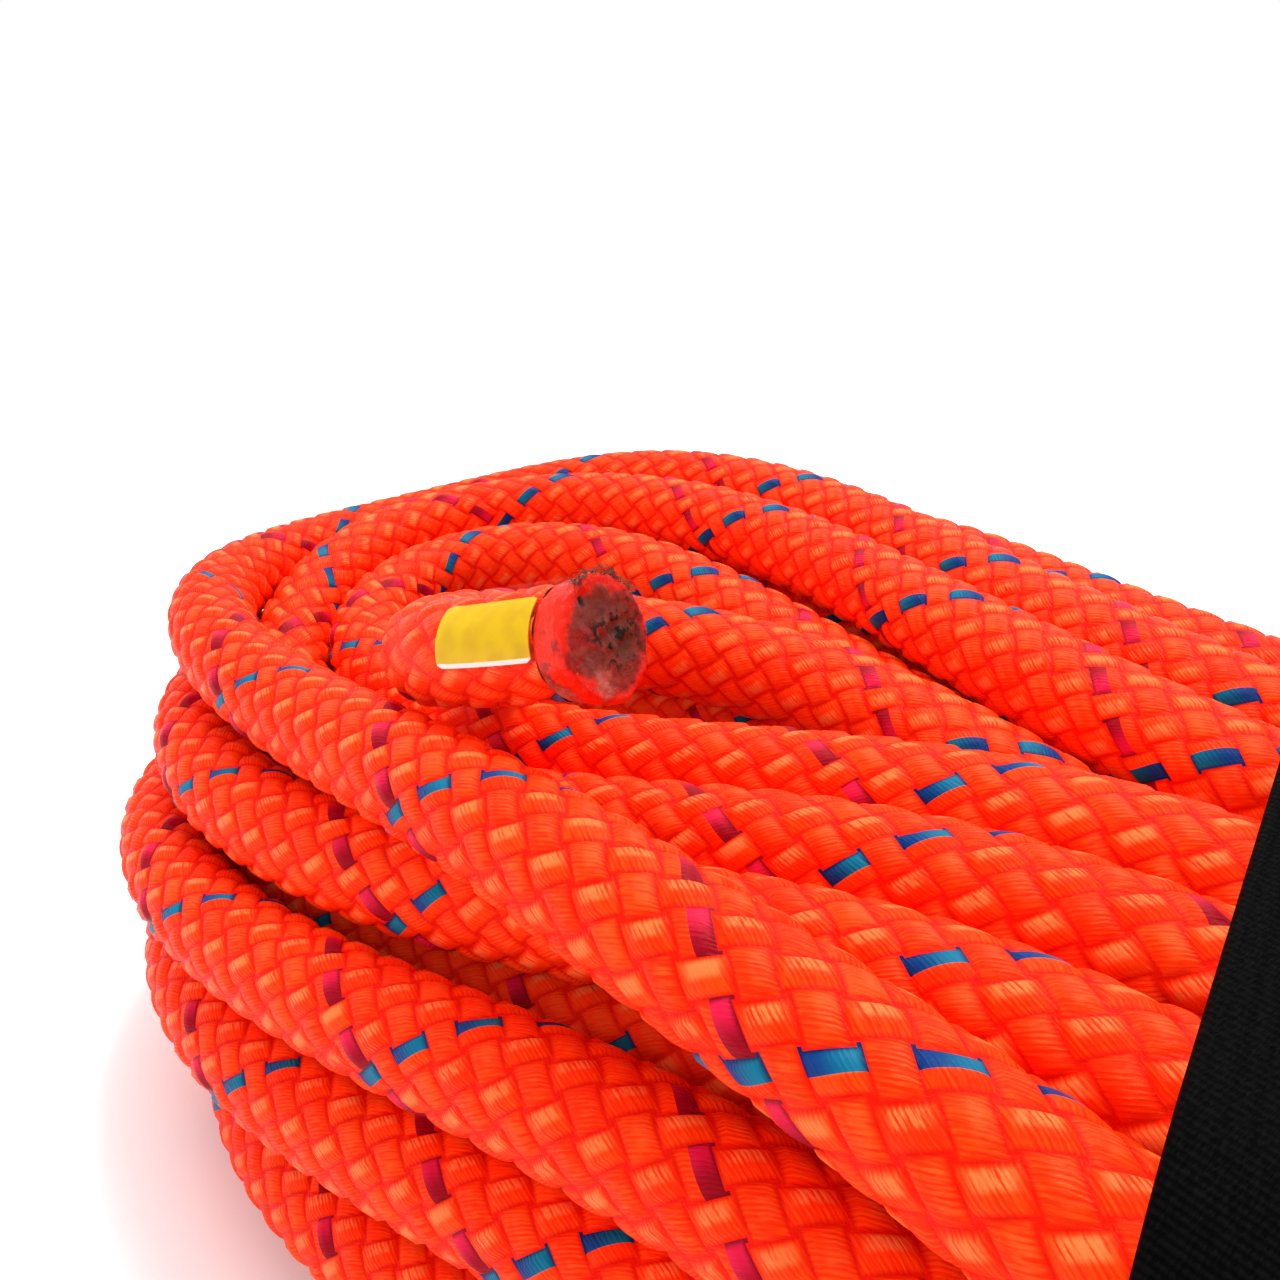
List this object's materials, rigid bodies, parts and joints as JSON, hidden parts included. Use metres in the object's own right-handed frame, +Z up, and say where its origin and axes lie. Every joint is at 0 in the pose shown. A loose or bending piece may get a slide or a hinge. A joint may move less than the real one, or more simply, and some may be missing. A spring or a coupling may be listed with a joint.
{
  "type": "dynamic climbing rope",
  "caption": "Thick woven climbing rope wound into a long hank and held at its waist by a flat black strap, with one labelled, sleeved rope end lying on top.",
  "frame": {"origin": "middle of the hank's footprint, on the surface it lies on", "axes": "+X along the hank, away from the loops that the labelled end lies in; +Y across it, to the back; +Z up"},
  "size_m": [0.3688, 0.1272, 0.0848],
  "materials": {
    "sheath": "woven polyamide, soft sheen",
    "core": "plied white yarn",
    "tip": "melted, uneven gloss",
    "label": "printed film",
    "sleeve": "clear shrunk film",
    "strap": "ribbed webbing",
    "tape": "hook and loop tape"
  },
  "bodies": {
    "hank": {"hank_turns": "sheath", "end_a_sheath": "sheath", "end_a_core_1": "core", "end_a_core_2": "core", "end_a_core_3": "core", "end_a_core_4": "core", "end_a_core_5": "core", "end_a_core_6": "core", "end_a_core_7": "core", "end_a_tip": "tip", "end_a_label": "label", "end_a_sleeve": "sleeve", "end_b_sheath": "sheath", "end_b_core_1": "core", "end_b_core_2": "core", "end_b_core_3": "core", "end_b_core_4": "core", "end_b_core_5": "core", "end_b_core_6": "core", "end_b_core_7": "core", "end_b_tip": "tip", "end_b_label": "label", "end_b_sleeve": "sleeve", "strap_band": "strap", "strap_loop_tape": "tape"},
    "flap": {"strap_flap": "strap", "strap_hook_tape": "tape", "strap_pull_tab": "strap"}
  },
  "joints": [
    {"name": "flap_peel", "type": "hinge", "parent": "hank", "child": "flap", "pos_m": [0, 0.002, 0.0744], "axis": [1, 0, 0], "range_deg": [0, 120]}
  ]
}
